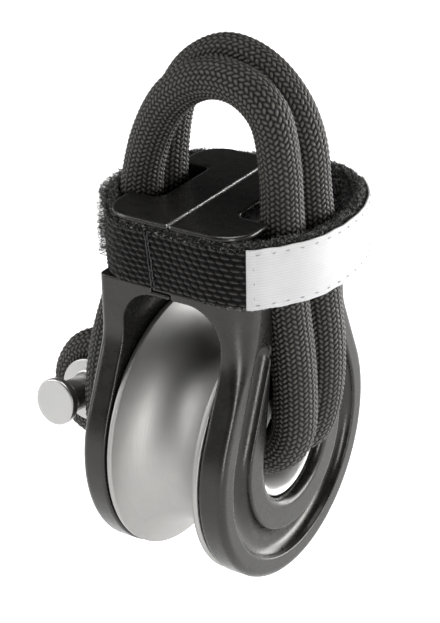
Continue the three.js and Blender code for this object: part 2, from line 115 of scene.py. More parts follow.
WEBBING_THICK = 1.0
STRAP_GAP = 0.3
STRAP_Z = (hub_mm(STRAP_BOX[0]).z, hub_mm(STRAP_BOX[1]).z)
LABEL_SPAN = (27.9, 74.3)  # distances along the strap from its front left corner
CROSS_SEAM = 6.8


# ---------------------------------------------------------------- camera
def add_camera():
    azimuth, elevation, roll = (math.radians(a) for a in (32.87, 26.4, -1.0))
    distance = 440.6
    aim_right, aim_up = -1.56, 24.96
    focal_length = 114.7
    level = math.cos(elevation)
    back = Vector((math.sin(azimuth) * level, -math.cos(azimuth) * level, math.sin(elevation)))
    level_right = Vector((math.cos(azimuth), math.sin(azimuth), 0))
    level_up = back.cross(level_right)
    right = math.cos(roll) * level_right + math.sin(roll) * level_up
    up = -math.sin(roll) * level_right + math.cos(roll) * level_up
    camera = bpy.data.objects.new("camera", bpy.data.cameras.new("camera"))
    camera.data.sensor_width = 36
    camera.data.sensor_fit = "AUTO"
    camera.data.lens = focal_length
    camera.data.clip_start = 0.01
    place = HUB + MM * (back * distance + right * aim_right + up * aim_up)
    camera.matrix_world = Matrix.Translation(place) @ Matrix((right, up, back)).transposed().to_4x4()
    bpy.context.scene.collection.objects.link(camera)
    bpy.context.scene.camera = camera


# ---------------------------------------------------------------- node materials
def new_material(name):
    material = bpy.data.materials.new(name)
    material.use_nodes = True
    shader = material.node_tree.nodes["Principled BSDF"]
    return material, material.node_tree, shader


def add_node(tree, kind, **settings):
    node = tree.nodes.new(kind)
    for key, value in settings.items():
        if key in node.inputs:
            node.inputs[key].default_value = value
        else:
            setattr(node, key, value)
    return node


def object_coordinates(tree, scale=(1, 1, 1)):
    """Object coordinates times a scale, so that a texture can be stretched along one direction."""
    coordinates = add_node(tree, "ShaderNodeTexCoord")
    mapping = add_node(tree, "ShaderNodeMapping")
    mapping.inputs["Scale"].default_value = scale
    tree.links.new(coordinates.outputs["Object"], mapping.inputs["Vector"])
    return mapping.outputs["Vector"]


def noise(tree, vector, scale, detail=3.0, roughness=0.55):
    node = add_node(tree, "ShaderNodeTexNoise", Scale=scale, Detail=detail, Roughness=roughness)
    tree.links.new(vector, node.inputs["Vector"])
    return node.outputs["Fac"]


def ramp(tree, value, low, high, dark, light):
    """A colour or grey that goes from dark to light as value goes from low to high."""
    node = add_node(tree, "ShaderNodeMapRange", interpolation_type="SMOOTHSTEP")
    node.inputs["From Min"].default_value = low
    node.inputs["From Max"].default_value = high
    tree.links.new(value, node.inputs["Value"])
    if isinstance(dark, (int, float)):
        node.inputs["To Min"].default_value = dark
        node.inputs["To Max"].default_value = light
        return node.outputs["Result"]
    mix = add_node(tree, "ShaderNodeMix", data_type="RGBA")
    mix.inputs["A"].default_value = (*dark, 1)
    mix.inputs["B"].default_value = (*light, 1)
    tree.links.new(node.outputs["Result"], mix.inputs["Factor"])
    return mix.outputs["Result"]


def multiply(tree, first, second):
    """The product of two colours."""
    node = add_node(tree, "ShaderNodeMix", data_type="RGBA", blend_type="MULTIPLY")
    node.inputs["Factor"].default_value = 1
    tree.links.new(first, node.inputs["A"])
    tree.links.new(second, node.inputs["B"])
    return node.outputs["Result"]


def height_attribute(tree):
    """The mesh's attribute crown: the height from 0 to 1 within its braid, weave or ribs, which the cloth
    materials use to paint shade into the low places.
    """
    return add_node(tree, "ShaderNodeAttribute", attribute_name="crown").outputs["Fac"]


def bump(tree, shader, height, distance, strength):
    node = add_node(tree, "ShaderNodeBump", Distance=distance, Strength=strength)
    tree.links.new(height, node.inputs["Height"])
    tree.links.new(node.outputs["Normal"], shader.inputs["Normal"])


def anodised_aluminium():
    """Dark grey anodising over blasted aluminium. Its edge attribute is 1 where an edge is painted
    near-white: partly real bare, polished metal and partly a painted highlight on that edge.
    """
    material, tree, shader = new_material("anodised_aluminium")
    here = object_coordinates(tree)
    cloud = noise(tree, here, 90)
    bare_and_highlight = add_node(tree, "ShaderNodeAttribute", attribute_name="bare_and_highlight").outputs["Fac"]
    # Painted bright edges: near-white where the edge attribute is 1, partly real bare metal and partly a
    # painted highlight.
    mix = add_node(tree, "ShaderNodeMix", data_type="RGBA")
    tree.links.new(bare_and_highlight, mix.inputs["Factor"])
    grey = ramp(tree, cloud, 0.3, 0.7, (0.035, 0.034, 0.032), (0.042, 0.041, 0.039))
    tree.links.new(grey, mix.inputs["A"])
    mix.inputs["B"].default_value = (0.85, 0.85, 0.84, 1)
    tree.links.new(mix.outputs["Result"], shader.inputs["Base Color"])
    shader.inputs["Metallic"].default_value = 0.8
    tree.links.new(ramp(tree, noise(tree, here, 420), 0.3, 0.7, 0.25, 0.31), shader.inputs["Roughness"])
    shader.inputs["IOR"].default_value = 1.55
    bump(tree, shader, noise(tree, here, 6000, detail=2), 0.00001, 0.5)
    return material


def satin_aluminium():
    """Clear anodised aluminium, turned: fine lines run round it, and the finish is satin."""
    material, tree, shader = new_material("satin_aluminium")
    lines = noise(tree, object_coordinates(tree, (1, 0.02, 0.02)), 9000, detail=2)
    cloud = noise(tree, object_coordinates(tree), 70)
    grey = ramp(tree, cloud, 0.3, 0.7, (0.37, 0.365, 0.355), (0.41, 0.405, 0.395))
    tree.links.new(grey, shader.inputs["Base Color"])
    shader.inputs["Metallic"].default_value = 1.0
    tree.links.new(ramp(tree, lines, 0.3, 0.7, 0.52, 0.58), shader.inputs["Roughness"])
    bump(tree, shader, lines, 0.000004, 0.6)
    return material


def turned_steel(name, base, roughness, line_scale, metallic=1.0):
    """Stainless steel with faint turning marks."""
    material, tree, shader = new_material(name)
    lines = noise(tree, object_coordinates(tree, line_scale), 5000, detail=2)
    smear = noise(tree, object_coordinates(tree), 260)
    dark = (0.95 * base, 0.945 * base, 0.925 * base)
    light = (base, 0.995 * base, 0.975 * base)
    tree.links.new(ramp(tree, smear, 0.3, 0.7, dark, light), shader.inputs["Base Color"])
    shader.inputs["Metallic"].default_value = metallic
    tree.links.new(ramp(tree, lines, 0.3, 0.7, roughness * 0.85, roughness * 1.2), shader.inputs["Roughness"])
    bump(tree, shader, lines, 0.000003, 0.5)
    return material


def bearing_polymer():
    material, tree, shader = new_material("bearing_polymer")
    grain = noise(tree, object_coordinates(tree), 1500)
    tree.links.new(ramp(tree, grain, 0.3, 0.7, (0.012,) * 3, (0.02,) * 3), shader.inputs["Base Color"])
    shader.inputs["Roughness"].default_value = 0.5
    bump(tree, shader, grain, 0.00002, 0.4)
    return material


def braided_cover():
    """Charcoal braid. Attribute tow is the place along and across a tow, which its fibres follow."""
    material, tree, shader = new_material("braided_cover")
    tow = add_node(tree, "ShaderNodeAttribute", attribute_name="tow").outputs["Vector"]
    fibre_map = add_node(tree, "ShaderNodeMapping")
    fibre_map.inputs["Scale"].default_value = (0.35, 9, 1)
    tree.links.new(tow, fibre_map.inputs["Vector"])
    fibres = noise(tree, fibre_map.outputs["Vector"], 1.0, detail=2)
    # Painted shade: the colour goes near black in the low gaps between the tows and reaches the yarn's
    # charcoal only on their crowns.
    shade = ramp(tree, height_attribute(tree), 0.64, 1.0, (0.0004, 0.0004, 0.0003), (0.078, 0.074, 0.065))
    strands = ramp(tree, fibres, 0.35, 0.65, (0.78,) * 3, (1.15,) * 3)
    cloud = noise(tree, object_coordinates(tree), 160)
    mottle = ramp(tree, cloud, 0.3, 0.7, (0.85,) * 3, (1.1, 1.09, 1.07))
    tree.links.new(multiply(tree, multiply(tree, shade, strands), mottle), shader.inputs["Base Color"])
    shader.inputs["Roughness"].default_value = 0.42
    shader.inputs["Specular IOR Level"].default_value = 0.25
    bump(tree, shader, fibres, 0.00006, 0.6)
    return material


def woven_tape():
    """Black woven tape with painted shade: darkest between its threads and where the seam presses them low.
    """
    material, tree, shader = new_material("woven_tape")
    grain = noise(tree, object_coordinates(tree), 3500)
    # Painted shade: near black where the weave is low, the tape's dark grey on the threads' tops.
    shade = ramp(tree, height_attribute(tree), 0.45, 1.0, (0.0004,) * 3, (0.052, 0.050, 0.047))
    speck = ramp(tree, grain, 0.35, 0.65, (0.7,) * 3, (1.3,) * 3)
    tree.links.new(multiply(tree, shade, speck), shader.inputs["Base Color"])
    shader.inputs["Roughness"].default_value = 0.5
    shader.inputs["Specular IOR Level"].default_value = 0.12
    bump(tree, shader, grain, 0.00008, 0.6)
    return material


def black_fibre(name, light):
    """Black nylon fibre with painted glints: random specks of it coloured as light as that grey."""
    material, tree, shader = new_material(name)
    grain = noise(tree, object_coordinates(tree), 1800)
    # Painted glints: light specks stand in for light glinting off the fibres.
    painted_glint = (light, 0.985 * light, 0.94 * light)
    tree.links.new(ramp(tree, grain, 0.5, 0.62, (0.003,) * 3, painted_glint), shader.inputs["Base Color"])
    shader.inputs["Roughness"].default_value = 0.35
    return material


def label_cloth():
    """White woven satin label: fine ribs along it, with painted shade in their grooves, and a soft shine."""
    material, tree, shader = new_material("label_cloth")
    cloud = noise(tree, object_coordinates(tree), 220)
    # Painted shade and light: a little darker in the grooves between the ribs, lighter on the rib tops and
    # the raised hem.
    white = ramp(tree, height_attribute(tree), 0.0, 1.0, (0.42, 0.42, 0.422), (0.48, 0.48, 0.48))
    shade = ramp(tree, cloud, 0.3, 0.7, (0.95,) * 3, (1.0,) * 3)
    tree.links.new(multiply(tree, white, shade), shader.inputs["Base Color"])
    shader.inputs["Roughness"].default_value = 0.55
    shader.inputs["Sheen Weight"].default_value = 0.15
    bump(tree, shader, noise(tree, object_coordinates(tree), 4500), 0.00003, 0.5)
    return material


def thread():
    material, tree, shader = new_material("stitch_thread")
    grain = noise(tree, object_coordinates(tree), 2500)
    tree.links.new(ramp(tree, grain, 0.3, 0.7, (0.30,) * 3, (0.42,) * 3), shader.inputs["Base Color"])
    shader.inputs["Roughness"].default_value = 0.6
    return material


# ---------------------------------------------------------------- mesh helpers
def add_mesh(name, points_mm, faces, material):
    """A mesh object from points in millimetres about the hub."""
    mesh = bpy.data.meshes.new(name)
    points = np.asarray(points_mm, np.float64) * MM + np.array(HUB)
    faces = np.asarray(faces, np.int32)
    corners = faces.shape[1]
    mesh.vertices.add(len(points))
    mesh.vertices.foreach_set("co", points.astype(np.float32).ravel())
    mesh.loops.add(faces.size)
    mesh.loops.foreach_set("vertex_index", faces.ravel())
    mesh.polygons.add(len(faces))
    mesh.polygons.foreach_set("loop_start", np.arange(0, faces.size, corners, dtype=np.int32))
    mesh.polygons.foreach_set("use_smooth", np.full(len(faces), True))
    mesh.update(calc_edges=True)
    mesh.materials.append(material)
    piece = bpy.data.objects.new(name, mesh)
    bpy.context.scene.collection.objects.link(piece)
    return piece


def point_attribute(piece, name, values):
    attribute = piece.data.attributes.new(name, "FLOAT", "POINT")
    attribute.data.foreach_set("value", np.asarray(values, np.float32).ravel())


def grid_faces(rows, columns, closed_rows=False, closed_columns=False):
    """Quads of a grid of points listed row by row."""
    i = np.arange(rows if closed_rows else rows - 1)
    j = np.arange(columns if closed_columns else columns - 1)
    i, j = (a.ravel() for a in np.meshgrid(i, j, indexing="ij"))
    i2, j2 = (i + 1) % rows, (j + 1) % columns
    return np.stack([i * columns + j, i * columns + j2, i2 * columns + j2, i2 * columns + j], 1)


def rounded(corners, steps=5):
    """A profile of (radius, x, rounding) corners, each turned into an arc of that rounding."""
    points = []
    count = len(corners)
    for k, (radius, x, rounding) in enumerate(corners):
        here = np.array([radius, x])
        before = np.array(corners[(k - 1) % count][:2]) - here
        after = np.array(corners[(k + 1) % count][:2]) - here
        if rounding == 0:
            points.append(here)
            continue
        before_length, after_length = np.linalg.norm(before), np.linalg.norm(after)
        before, after = before / before_length, after / after_length
        half = math.acos(np.clip(before @ after, -1, 1)) / 2
        reach = min(rounding / math.tan(half), 0.49 * before_length, 0.49 * after_length)
        start, end = here + before * reach, here + after * reach
        for t in np.linspace(0, 1, steps + 1):
            points.append((1 - t) ** 2 * start + 2 * t * (1 - t) * here + t ** 2 * end)
    return points


def crisp(profile, beside=0.05, long=0.35):
    """The profile with a point close to each end of its long straights, which keeps them flat in shading."""
    points = []
    for here, ahead in zip(profile, profile[1:] + profile[:1]):
        here, ahead = np.array(here), np.array(ahead)
        points.append(here)
        length = np.linalg.norm(ahead - here)
        if length > long:
            points.append(here + (ahead - here) * beside / length)
            points.append(ahead - (ahead - here) * beside / length)
    return points


def turned(name, profile, material, segments=160, place=None):
    """A closed profile of (radius, x) points turned about X, or about place's own X."""
    profile = np.array(crisp(profile))
    angles = np.linspace(0, 2 * math.pi, segments, endpoint=False)
    x = np.repeat(profile[:, 1][None], segments, 0)
    y = np.cos(angles)[:, None] * profile[:, 0]
    z = np.sin(angles)[:, None] * profile[:, 0]
    points = np.stack([x, y, z], -1).reshape(-1, 3)
    if place is not None:
        points = points @ place[:, :3].T + place[:, 3]
    return add_mesh(name, points, grid_faces(segments, len(profile), True, True), material)


# ---------------------------------------------------------------- distance fields for the cheeks
def rounded_max(a, b, r):
    """Intersection of two fields with its edge rounded to radius r."""
    return np.minimum(-r, np.maximum(a, b)) + np.hypot(np.maximum(a + r, 0), np.maximum(b + r, 0))


def rounded_min(a, b, r):
    """Union of two fields with a fillet of radius r."""
    return -rounded_max(-a, -b, r)


def soft_min(a, b, reach):
    """Union of two fields that meet at a shallow angle, blended over reach."""
    near = np.maximum(reach - np.abs(a - b), 0) / reach
    return np.minimum(a, b) - near * near * reach / 4


def smooth_step(value, low, high):
    t = np.clip((value - low) / (high - low), 0, 1)
    return t * t * (3 - 2 * t)


def cheek_side_view(y, z):
    """Outline of the cheek seen along the axle: a disc, flanks that lean in and the upright neck."""
    flank = y * math.cos(FLARE) + z * math.sin(FLARE) - CHEEK_R
    upper = soft_min(y - CROWN_HALF_Y, flank, 1.2)
    disc = np.hypot(y, z) - CHEEK_R
    return np.where(z * math.cos(FLARE) > y * math.sin(FLARE), upper, disc)


def crown_plan(x, y, inset):
    """Plan of the whole crown: a rectangle with rounded corners."""
    corner = CROWN_CORNER_R - inset
    dx = x - (CROWN_HALF_X - inset) + corner
    dy = y - (CROWN_HALF_Y - inset) + corner
    return np.hypot(np.maximum(dx, 0), np.maximum(dy, 0)) + np.minimum(np.maximum(dx, dy), 0) - corner


def side_groove(x, y, z):
    """The U-shaped groove round the hub, its legs leaning in towards rounded ends."""
    path_r, half_width, depth_share, leg_end_z = 22.4, 3.25, 0.85, 27.0
    lean = math.radians(21.5)
    start = np.array([path_r * math.cos(lean), path_r * math.sin(lean)])
    leg = np.array([-math.tan(lean), 1]) * (leg_end_z - start[1])
    along = np.clip(((y - start[0]) * leg[0] + (z - start[1]) * leg[1]) / (leg @ leg), 0, 1)
    to_leg = np.hypot(y - start[0] - along * leg[0], z - start[1] - along * leg[1])
    below = z * math.cos(lean) < y * math.sin(lean)
    to_path = np.where(below, np.abs(np.hypot(y, z) - path_r), to_leg)
    return np.hypot(to_path, (x - CHEEK_OUTER_X) / depth_share) - half_width


def strop_pocket(x, y, z):
    """The slot down the crown, the ramp below it and the hollow at the hub."""
    ramp_top, ramp_foot, widen_z, hollow_r = 43.0, 30.0, 28.0, 13.2
    wall = np.interp(z, [ramp_foot, ramp_top], [POCKET_FLOOR_X, SLOT_WALL_X])
    half_width = np.interp(z, [2, widen_z], [hollow_r, SLOT_HALF_Y])
    channel = rounded_max(y - half_width, wall - x, 2.0)
    channel = np.maximum(channel, -z)
    cup = np.maximum(np.hypot(y, z) - AXLE_OUTER_R - 0.3, 9.0 - x)
    return channel, cup


def whole_body(x, y, z, neck_round):
    """Both cheeks and the crown as one field; x and y are distances from the middle planes.

    neck_round is 1 where the neck's upright outer edge is rounded like the crown, and 0 where it isn't.
    """
    side = cheek_side_view(y, z)
    rounder = smooth_step(z, 18.0, 39.0) * neck_round
    corner = CHEEK_EDGE_ROUND + (CROWN_CORNER_R - CHEEK_EDGE_ROUND) * rounder
    body = rounded_max(side, x - CHEEK_OUTER_X, corner)
    throat = rounded_max(x - CHEEK_INNER_X, z - THROAT_TOP_Z, THROAT_CORNER_R)
    body = rounded_max(body, -throat, 0.5)
    body = rounded_max(body, z - SHOULDER_Z, 0.3)
    plate_foot = CROWN_TOP_Z - TOP_PLATE_THICK
    band = np.maximum(crown_plan(x, y, STRAP_RECESS), np.maximum(z - plate_foot - 0.5, SHOULDER_Z - 1 - z))
    plate = rounded_max(crown_plan(x, y, 0), z - CROWN_TOP_Z, 0.6)
    plate = rounded_max(plate, plate_foot - z, 0.35)
    body = rounded_min(np.minimum(body, plate), band, 0.2)
    channel, cup = strop_pocket(x, y, z)
    body = rounded_max(body, -channel, 0.5)
    body = rounded_max(body, -side_groove(x, y, z), 0.3)
    return rounded_max(body, -cup, 1.9)


def right_cheek_field(p):
    """The right half: cut at the seam, with the tongue that locks it into the other half."""
    x, y, z = p[..., 0], p[..., 1], p[..., 2]
    whole = whole_body(np.abs(x), np.abs(y), z, np.where(x * y < 0, 1.0, 0.0))
    half = rounded_max(whole, SEAM_HALF_GAP - x, 0.28)
    tongue_back, tongue_foot = 14.0, 40.6
    tongue_top = CROWN_TOP_Z - TOP_PLATE_THICK - 1.2
    clearance = 2 * SEAM_HALF_GAP
    tongue_height = np.maximum(tongue_foot - z, z - tongue_top)
    tongue = np.maximum.reduce([whole, -x - TONGUE_X, x - 1, y + tongue_back, tongue_height])
    pocket = np.maximum.reduce([x - TONGUE_X, tongue_back - y, tongue_height]) - clearance
    return np.maximum(np.minimum(half, tongue), -pocket)


def surface_of(field, low, high, step):
    """Points and quads of a field's zero surface: one point in each cell it crosses, then moved onto it."""
    axes = [np.arange(a, b + step, step) for a, b in zip(low, high)]
    grid = np.stack(np.meshgrid(*axes, indexing="ij"), -1).astype(np.float32)
    value = field(grid).astype(np.float32)
    inside = value < 0
    count = np.zeros(tuple(n - 1 for n in value.shape), np.int8)
    total = np.zeros((*count.shape, 3), np.float32)
    cell = (slice(0, -1), slice(1, None))
    crossings = []
    for axis in range(3):
        lower = [slice(None)] * 3
        upper = [slice(None)] * 3
        lower[axis], upper[axis] = cell
        a, b = value[tuple(lower)], value[tuple(upper)]
        crossed = inside[tuple(lower)] != inside[tuple(upper)]
        share = np.where(crossed, a / np.where(crossed, a - b, 1), 0)
        place = grid[tuple(lower)] + share[..., None] * step * np.eye(3, dtype=np.float32)[axis]
        crossings.append((crossed, inside[tuple(lower)]))
        others = [k for k in range(3) if k != axis]
        for first in cell:
            for second in cell:
                window = [slice(None)] * 3
                window[others[0]], window[others[1]] = first, second
                count += crossed[tuple(window)]
                total += np.where(crossed[tuple(window)][..., None], place[tuple(window)], 0)
    used = count > 0
    index = np.full(count.shape, -1, np.int64)
    index[used] = np.arange(used.sum())
    points = (total[used] / count[used][:, None]).astype(np.float64)
    faces = []
    for axis, (crossed, starts_inside) in enumerate(crossings):
        b, c = (axis + 1) % 3, (axis + 2) % 3
        edges = np.argwhere(crossed)
        edges = edges[(edges[:, b] > 0) & (edges[:, c] > 0)]
        back_b, back_c = np.eye(3, dtype=int)[b], np.eye(3, dtype=int)[c]
        quad = np.stack([
            index[tuple((edges - back_b - back_c).T)], index[tuple((edges - back_c).T)],
            index[tuple(edges.T)], index[tuple((edges - back_b).T)],
        ], 1)
        flip = ~starts_inside[tuple(edges.T)]
        quad[flip] = quad[flip][:, ::-1]
        faces.append(quad)
    for _ in range(4):
        points -= pull_to_surface(field, points, step)
    return points, np.concatenate(faces)


def pull_to_surface(field, points, step):
    """How far each point is from the field's zero surface, as a vector, at most half a step."""
    near = 0.02
    slope = np.stack([
        (field(points + near * axis) - field(points - near * axis)) / (2 * near) for axis in np.eye(3)
    ], 1)
    size = np.maximum((slope ** 2).sum(1), 0.25)
    shift = slope * (field(points) / size)[:, None]
    length = np.maximum(np.linalg.norm(shift, axis=1), 1e-9)
    return shift * np.minimum(1, 0.5 * step / length)[:, None]


def add_cheeks(material):
    margin = 0.9
    low = (-TONGUE_X - margin, -CHEEK_R - margin, -CHEEK_R - margin)
    high = (CHEEK_OUTER_X + margin, CHEEK_R + margin, CROWN_TOP_Z + margin)
    points, faces = surface_of(right_cheek_field, low, high, 0.37)
    # Painted bright edges: a bright line along the seam on the crown and a faint one round the crown plate's
    # top edge, each partly bare metal and partly a painted highlight.
    from_seam = np.abs(points[:, 0] - SEAM_HALF_GAP)
    below_top = CROWN_TOP_Z - points[:, 2]
    seam_bare_and_highlight = smooth_step(-from_seam, -0.34, -0.24) * smooth_step(-below_top, -0.6, -0.3)
    edge_wear_and_highlight = smooth_step(below_top, 0.03, 0.10) * smooth_step(-below_top, -0.5, -0.3)
    edge_wear_and_highlight_share = 0.03
    bare_and_highlight = np.maximum(seam_bare_and_highlight, edge_wear_and_highlight_share * edge_wear_and_highlight)
    for name, turn in (("right_cheek_body", 1), ("left_cheek_body", -1)):
        piece = add_mesh(name, points * (turn, turn, 1), faces, material)
        point_attribute(piece, "bare_and_highlight", bare_and_highlight)
        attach(piece, "block")
        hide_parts(name.removesuffix("_body"))


# ---------------------------------------------------------------- turned metal parts
def add_sheave(material):
    half_groove = SHEAVE_HALF_WIDTH - FLANGE_LAND
    depth = SHEAVE_R - GROOVE_ROOT_R
    curve_r = (half_groove ** 2 + depth ** 2) / (2 * depth)
    spread = math.asin(half_groove / curve_r)
    angles = np.linspace(spread, -spread, 40)
    groove = [(GROOVE_ROOT_R + curve_r * (1 - math.cos(a)), curve_r * math.sin(a)) for a in angles]
    hub_in, hub_out = 17.62, 20.5
    hub_x = SHEAVE_HALF_WIDTH - 1.6
    half = rounded([
        (hub_in, hub_x, 0.2), (hub_out, hub_x, 0.2), (hub_out + 0.6, SHEAVE_HALF_WIDTH, 0.3),
        (SHEAVE_R, SHEAVE_HALF_WIDTH, 0.55), (SHEAVE_R, half_groove + 0.3, 0.3),
        (SHEAVE_R - 0.4, half_groove, 0),
    ])[:-1]
    profile = half + groove + [(radius, -x) for radius, x in reversed(half)]
    piece = turned("sheave_wheel", profile, material, segments=200)
    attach(piece, "sheave")
    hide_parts("sheave")


def add_axle(material):
    mouth_depth = 4.2
    quarter = np.linspace(0, math.pi / 2, 14)
    mouth = [(
        AXLE_BORE_R + (AXLE_LIP_R - AXLE_BORE_R) * (1 - math.cos(a)),
        AXLE_END_X - mouth_depth * (1 - math.sin(a)),
    ) for a in quarter]
    end = [(AXLE_LIP_R + 0.2, AXLE_END_X - 0.02), (AXLE_OUTER_R, AXLE_END_X - 0.25)]
    half = mouth + end
    profile = half + [(radius, -x) for radius, x in reversed(half)]
    piece = turned("axle_tube", profile, material)
    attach(piece, "block")
    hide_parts("hollow_axle")


def toggle_frame():
    """Axes and centre that place a part turned about X on the toggle's own axis."""
    side = np.cross(TOGGLE_AXIS, (0, 0, 1.0))
    side /= np.linalg.norm(side)
    up = np.cross(side, TOGGLE_AXIS)
    return np.column_stack([TOGGLE_AXIS, side, up, TOGGLE_CENTRE])


def add_toggle(material):
    disc_near, disc_far = 5.3, 6.7
    head_x = TOGGLE_HALF_LENGTH - 1.9
    half = rounded([
        (TOGGLE_WAIST_R, 3.6, 0.8), (3.6, 4.7, 0.8), (TOGGLE_DISC_R - 0.5, disc_near, 0.2),
        (TOGGLE_DISC_R, disc_near + 0.35, 0.3), (TOGGLE_DISC_R, disc_far, 0.4),
        (4.4, disc_far, 0.6), (TOGGLE_NECK_R, disc_far + 0.8, 0.8), (TOGGLE_NECK_R, head_x - 1.9, 2.0),
        (4.7, head_x - 0.1, 0.4), (TOGGLE_HEAD_R, head_x + 0.1, 0.35),
        (TOGGLE_HEAD_R, TOGGLE_HALF_LENGTH, 0.5), (0.02, TOGGLE_HALF_LENGTH, 0),
    ])
    profile = [(radius, -x) for radius, x in reversed(half)] + half
    piece = turned("toggle_bar", profile, material, segments=96, place=toggle_frame())
    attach(piece, "toggle")
    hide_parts("toggle")


# ---------------------------------------------------------------- curves
def through(points, closed=False, per_span=24):
    """A smooth centripetal Catmull-Rom line through the points."""
    p = np.array(points, float)
    if closed:
        p = np.concatenate([p[-1:], p, p[:2]])
    else:
        p = np.concatenate([[2 * p[0] - p[1]], p, [2 * p[-1] - p[-2]]])
    line = []
    for k in range(1, len(p) - 2):
        p0, p1, p2, p3 = p[k - 1:k + 3]
        t0 = 0.0
        t1 = t0 + math.sqrt(np.linalg.norm(p1 - p0))
        t2 = t1 + math.sqrt(np.linalg.norm(p2 - p1))
        t3 = t2 + math.sqrt(np.linalg.norm(p3 - p2))
        t = np.linspace(t1, t2, per_span, endpoint=False)[:, None]
        a1 = (t1 - t) / (t1 - t0) * p0 + (t - t0) / (t1 - t0) * p1
        a2 = (t2 - t) / (t2 - t1) * p1 + (t - t1) / (t2 - t1) * p2
        a3 = (t3 - t) / (t3 - t2) * p2 + (t - t2) / (t3 - t2) * p3
        b1 = (t2 - t) / (t2 - t0) * a1 + (t - t0) / (t2 - t0) * a2
        b2 = (t3 - t) / (t3 - t1) * a2 + (t - t1) / (t3 - t1) * a3
        line.append((t2 - t) / (t2 - t1) * b1 + (t - t1) / (t2 - t1) * b2)
    line = np.concatenate(line)
    return line if closed else np.concatenate([line, p[-2:-1]])


def evenly(line, spacing, closed=False):
    """The line resampled at about that spacing, and its length."""
    if closed:
        line = np.concatenate([line, line[:1]])
    reach = np.concatenate([[0], np.cumsum(np.linalg.norm(np.diff(line, axis=0), axis=1))])
    count = max(4, round(reach[-1] / spacing))
    at = np.linspace(0, reach[-1], count + 1)
    if closed:
        at = at[:-1]
    return np.stack([np.interp(at, reach, line[:, k]) for k in range(3)], 1), reach[-1]


def smoothed(line, passes):
    """The line with its corners eased; its ends stay."""
    for _ in range(passes):
        line[1:-1] = (line[:-2] + 2 * line[1:-1] + line[2:]) / 4
    return line


def frames_along(line):
    """Tangents and two cross directions that turn as little as they can along the line."""
    tangent = np.gradient(line, axis=0)
    tangent /= np.linalg.norm(tangent, axis=1)[:, None]
    normal = np.zeros_like(line)
    normal[0] = np.cross(tangent[0], (0.3, 0.2, 0.9))
    normal[0] /= np.linalg.norm(normal[0])
    for k in range(1, len(line)):
        step = normal[k - 1] - tangent[k] * (normal[k - 1] @ tangent[k])
        normal[k] = step / np.linalg.norm(step)
    return tangent, normal, np.cross(tangent, normal)


# ---------------------------------------------------------------- strop
def round_waist(degrees):
    """A point of the bight round the toggle's waist; angle 0 points away from the block."""
    radius = TOGGLE_WAIST_R + ROPE_D / 2 + 0.6
    slack = 0.6
    away = np.array([-1.0, 0, 0]) + TOGGLE_AXIS[0] * TOGGLE_AXIS
    away /= np.linalg.norm(away)
    over = np.cross(TOGGLE_AXIS, away)
    over *= np.sign(over[2])
    angle = math.radians(degrees)
    return TOGGLE_CENTRE + (radius + slack) * math.cos(angle) * away + radius * math.sin(angle) * over


def strop_route():
    """The strop's centre line: one endless loop that is spliced inside the axle."""
    side = STRAND_Y
    front_side = [
        (2, -3.6, -3.2), (8, -4.6, -1.4), (13, -side, -0.8), (17.4, -side, 1.6), (19.9, -side, 6.5),
        (20.4, -side, 14), (19.8, -side, 25), (18.2, -side, 38), (17.3, -side, 55), (16.7, -side, 67),
        (14.2, -side, 77.2), (8, -side, 82.2), (0, -side, 82.6), (-8, -side, 78), (-13.4, -side, 70),
        (-16.7, -side, 60), (-17.6, -side, 50), (-18.6, -side, 41.5), (-20.9, -5.1, 34), (-22.6, -6.6, 27),
        (-23.4, -9.2, 20), (-23.6, -11.6, 12), (-23.6, -12.4, 3), (-23.6, -10.8, -7),
    ]
    under = [(-23.6, -side, -15.6), (-23.6, side, -15.6)]
    rear_side = [
        (-23.3, 10.8, -7), (-23.1, 11.8, 2), (-23.2, 11.2, 12), (-23.3, 8.8, 20), (-22.9, 6.4, 27),
        (-20.9, 5.1, 34), (-18.6, side, 41.5), (-17.6, side, 50), (-16.9, side, 60),
        (-14.4, side, 73), (-9, side, 80.8), (-1.5, side, 84.7), (6.5, side, 83), (13.4, side, 77),
        (17.2, side, 69), (18.4, side, 57), (20, side, 39), (21.6, side, 25), (21.4, side, 14),
        (19.9, side, 6.5), (17.4, side, 1.8), (13, side, 1), (8, 4.6, 1.4), (2, 3.6, 3.2),
        (-5, 1.2, 4.6), (-11, 0, 4.8), (-17, 0, 5.6),
    ]
    bight = [round_waist(degrees) for degrees in (115, 80, 45, 0, -45, -80, -115)]
    home = [(-17, 0, -5.2), (-11, 0, -4.8), (-5, -1.2, -4.6), (1.6, -3.5, -3.35)]
    return front_side + under + rear_side + bight + home


def tow_height(over, across):
    """Height of a tow: over is 1 where it lies on the others, and across goes from -1 to 1 over its width."""
    rise, roundness = 0.42, 0.62
    return rise * over + roundness * np.sqrt(np.maximum(0, 1 - np.abs(across) ** 2.2))


def braid_height(around, along):
    """Height from 0 to 1 of a two-over, two-under braid, and the place along and across the tow on top.

    around counts the tows of one direction, and along counts them too; both sets of tows run diagonally.
    """
    p, q = around + along, around - along
    tow_p, tow_q = np.floor(p), np.floor(q)
    across_p, across_q = 2 * (p - tow_p) - 1, 2 * (q - tow_q) - 1
    height_p = tow_height(np.cos(math.pi / 2 * (q + tow_p - 1)), across_p)
    height_q = tow_height(np.cos(math.pi / 2 * (p + tow_q - 3)), across_q)
    on_top = height_p >= height_q
    height = np.clip(np.where(on_top, height_p, height_q) / tow_height(1, 0), 0, 1)
    own_fibres = 7.0 * np.where(on_top, tow_p, tow_q + 40)
    across = np.where(on_top, across_p, across_q) + own_fibres
    return height, np.stack([np.where(on_top, q, p), across, np.zeros_like(p)], -1)


